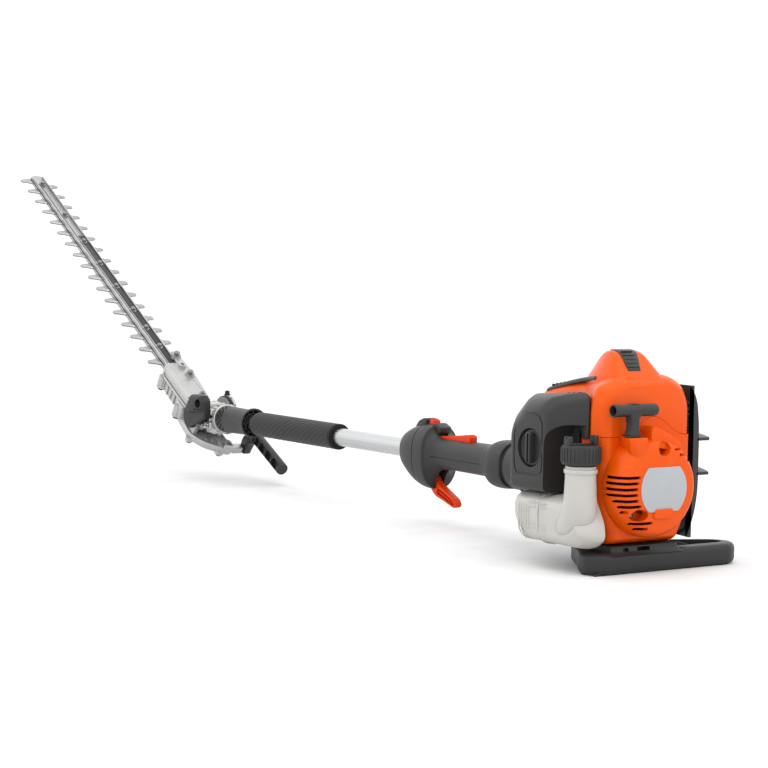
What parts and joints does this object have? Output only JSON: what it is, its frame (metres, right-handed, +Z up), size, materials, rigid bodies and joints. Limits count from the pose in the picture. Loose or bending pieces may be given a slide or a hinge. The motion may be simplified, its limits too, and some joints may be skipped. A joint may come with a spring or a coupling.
{
  "type": "pole hedge trimmer",
  "caption": "Petrol pole hedge trimmer: rear engine on a foot, handle with trigger, straight pole with foam grip, and a tilting head with a double-sided reciprocating blade.",
  "frame": {"origin": "on the flat underside of the engine foot, below the pole axis, near its rear bar", "axes": "+X forward along the pole towards the blade, +Y to the operator's left, +Z up"},
  "size_m": [1.6862, 0.253, 0.4743],
  "materials": {
    "orange_shell": "moulded orange plastic, satin gloss",
    "dark_plastic": "dark grey moulded plastic with a fine grain",
    "black_rubber": "black rubber",
    "grip_foam": "charcoal closed-cell foam",
    "tank_plastic": "off-white translucent plastic",
    "cast_alloy": "light die-cast alloy",
    "tube_alloy": "satin drawn tube",
    "bright_steel": "ground steel",
    "bush_bronze": "sintered bronze",
    "label_grey": "light grey plate"
  },
  "bodies": {
    "machine": {"starter_housing": "orange_shell", "top_cover": "orange_shell", "top_cover_inlay": "dark_plastic", "top_strip": "dark_plastic", "label_plate": "label_grey", "starter_rope": "black_rubber", "crankcase": "cast_alloy", "cylinder": "cast_alloy", "piston": "cast_alloy", "clutch_cover": "dark_plastic", "vibration_ring": "black_rubber", "muffler": "bright_steel", "muffler_guard": "dark_plastic", "carburettor": "cast_alloy", "air_filter_element": "grip_foam", "air_filter_cover": "dark_plastic", "fuel_tank": "tank_plastic", "engine_foot": "dark_plastic", "pole_tube": "tube_alloy", "front_grip": "grip_foam", "shaft_bush_rear": "bush_bronze", "shaft_bush_front": "bush_bronze", "rear_handle_left": "dark_plastic", "rear_handle_right": "dark_plastic", "neck_housing": "cast_alloy", "hinge_cover": "dark_plastic"},
    "crank": {"crankshaft": "bright_steel", "flywheel": "cast_alloy", "clutch_shoes": "bright_steel"},
    "drive": {"clutch_drum": "bright_steel", "drive_shaft": "bright_steel", "input_pinion": "bright_steel"},
    "pulley": {"recoil_pulley": "dark_plastic"},
    "pull_handle": {"starter_handle": "dark_plastic"},
    "trigger": {"throttle_trigger": "orange_shell"},
    "lockout": {"throttle_lockout": "orange_shell"},
    "stop_button": {"stop_switch": "orange_shell"},
    "knob": {"filter_knob": "dark_plastic"},
    "cap": {"fuel_cap": "dark_plastic"},
    "sleeve": {"lock_sleeve": "dark_plastic", "lock_pin": "bright_steel"},
    "tilt_gear": {"intermediate_gear": "bright_steel"},
    "head": {"gear_case_upper": "cast_alloy", "gear_case_lower": "cast_alloy", "tilt_lock_ring": "cast_alloy", "adjusting_handle": "dark_plastic", "guide_bar": "cast_alloy", "blade_bolt_1": "bright_steel", "blade_bolt_2": "bright_steel", "blade_bolt_3": "bright_steel", "blade_bolt_4": "bright_steel", "blade_bolt_5": "bright_steel", "blade_bolt_6": "bright_steel", "blade_bolt_7": "bright_steel", "blade_bolt_8": "bright_steel"},
    "output": {"output_pinion": "bright_steel"},
    "crank_wheel": {"crank_gear": "bright_steel"},
    "top_blade": {"upper_blade": "bright_steel"},
    "bottom_blade": {"lower_blade": "bright_steel"}
  },
  "joints": [
    {"name": "starter_pull", "type": "slide", "parent": "machine", "child": "pull_handle", "axis": [0, 0, 1], "range_m": [0, 0.75], "stiffness_N_per_m": 20, "springref_m": -0.75, "deforming": ["starter_rope"]},
    {"name": "recoil_spin", "type": "hinge", "parent": "machine", "child": "pulley", "pos_m": [-0.03, 0, 0.095], "axis": [1, 0, 0], "range_deg": [0, 1420]},
    {"name": "crank_spin", "type": "hinge", "parent": "machine", "child": "crank", "pos_m": [0.05, 0, 0.095], "axis": [1, 0, 0], "continuous": true},
    {"name": "drive_spin", "type": "hinge", "parent": "machine", "child": "drive", "pos_m": [0.2, 0, 0.095], "axis": [1, 0, 0], "continuous": true},
    {"name": "tilt_gear_spin", "type": "hinge", "parent": "machine", "child": "tilt_gear", "pos_m": [0.997, 0, 0.095], "axis": [0, 1, 0], "continuous": true},
    {"name": "throttle_squeeze", "type": "hinge", "parent": "machine", "child": "trigger", "pos_m": [0.384, 0, 0.064], "axis": [0, 1, 0], "range_deg": [0, 20], "stiffness_Nm_per_rad": 0.3, "springref_deg": -17.19},
    {"name": "lockout_press", "type": "hinge", "parent": "machine", "child": "lockout", "pos_m": [0.3665, 0, 0.119], "axis": [0, -1, 0], "range_deg": [0, 5], "stiffness_Nm_per_rad": 0.5, "springref_deg": -5.73},
    {"name": "stop_slide", "type": "slide", "parent": "machine", "child": "stop_button", "axis": [1, 0, 0], "range_m": [0, 0.005]},
    {"name": "filter_knob_turn", "type": "hinge", "parent": "machine", "child": "knob", "pos_m": [0.066, 0.095, 0.133], "axis": [0, 1, 0], "range_deg": [0, 90]},
    {"name": "fuel_cap_turn", "type": "hinge", "parent": "machine", "child": "cap", "pos_m": [-0.006, 0.081, 0.1204], "axis": [0, 0, 1], "range_deg": [0, 360]},
    {"name": "lock_sleeve_slide", "type": "slide", "parent": "machine", "child": "sleeve", "axis": [-1, 0, 0], "range_m": [0, 0.01], "stiffness_N_per_m": 1500, "springref_m": -0.006},
    {"name": "head_tilt", "type": "hinge", "parent": "machine", "child": "head", "pos_m": [0.997, 0, 0.095], "axis": [0, -1, 0], "range_deg": [-30, 65]},
    {"name": "output_spin", "type": "hinge", "parent": "head", "child": "output", "pos_m": [1.02298, 0, 0.11], "axis": [0.866, 0, 0.5], "continuous": true},
    {"name": "crank_gear_spin", "type": "hinge", "parent": "head", "child": "crank_wheel", "pos_m": [1.05396, 0, 0.11634], "axis": [-0.5, 0, 0.866], "continuous": true},
    {"name": "blade_stroke", "type": "slide", "parent": "head", "child": "top_blade", "axis": [0.866, 0, 0.5], "range_m": [-0.009, 0.009]},
    {"name": "blade_counterstroke", "type": "slide", "parent": "head", "child": "bottom_blade", "axis": [0.866, 0, 0.5], "range_m": [-0.009, 0.009]}
  ],
  "couplings": [
    {"joint": "recoil_spin", "follows": "starter_pull", "rad_per_m": 32.787},
    {"joint": "tilt_gear_spin", "follows": "drive_spin", "ratio": -0.31579},
    {"joint": "output_spin", "follows": "drive_spin", "ratio": -1},
    {"joint": "crank_gear_spin", "follows": "drive_spin", "ratio": 0.35294},
    {"joint": "blade_counterstroke", "follows": "blade_stroke", "ratio": -1}
  ]
}
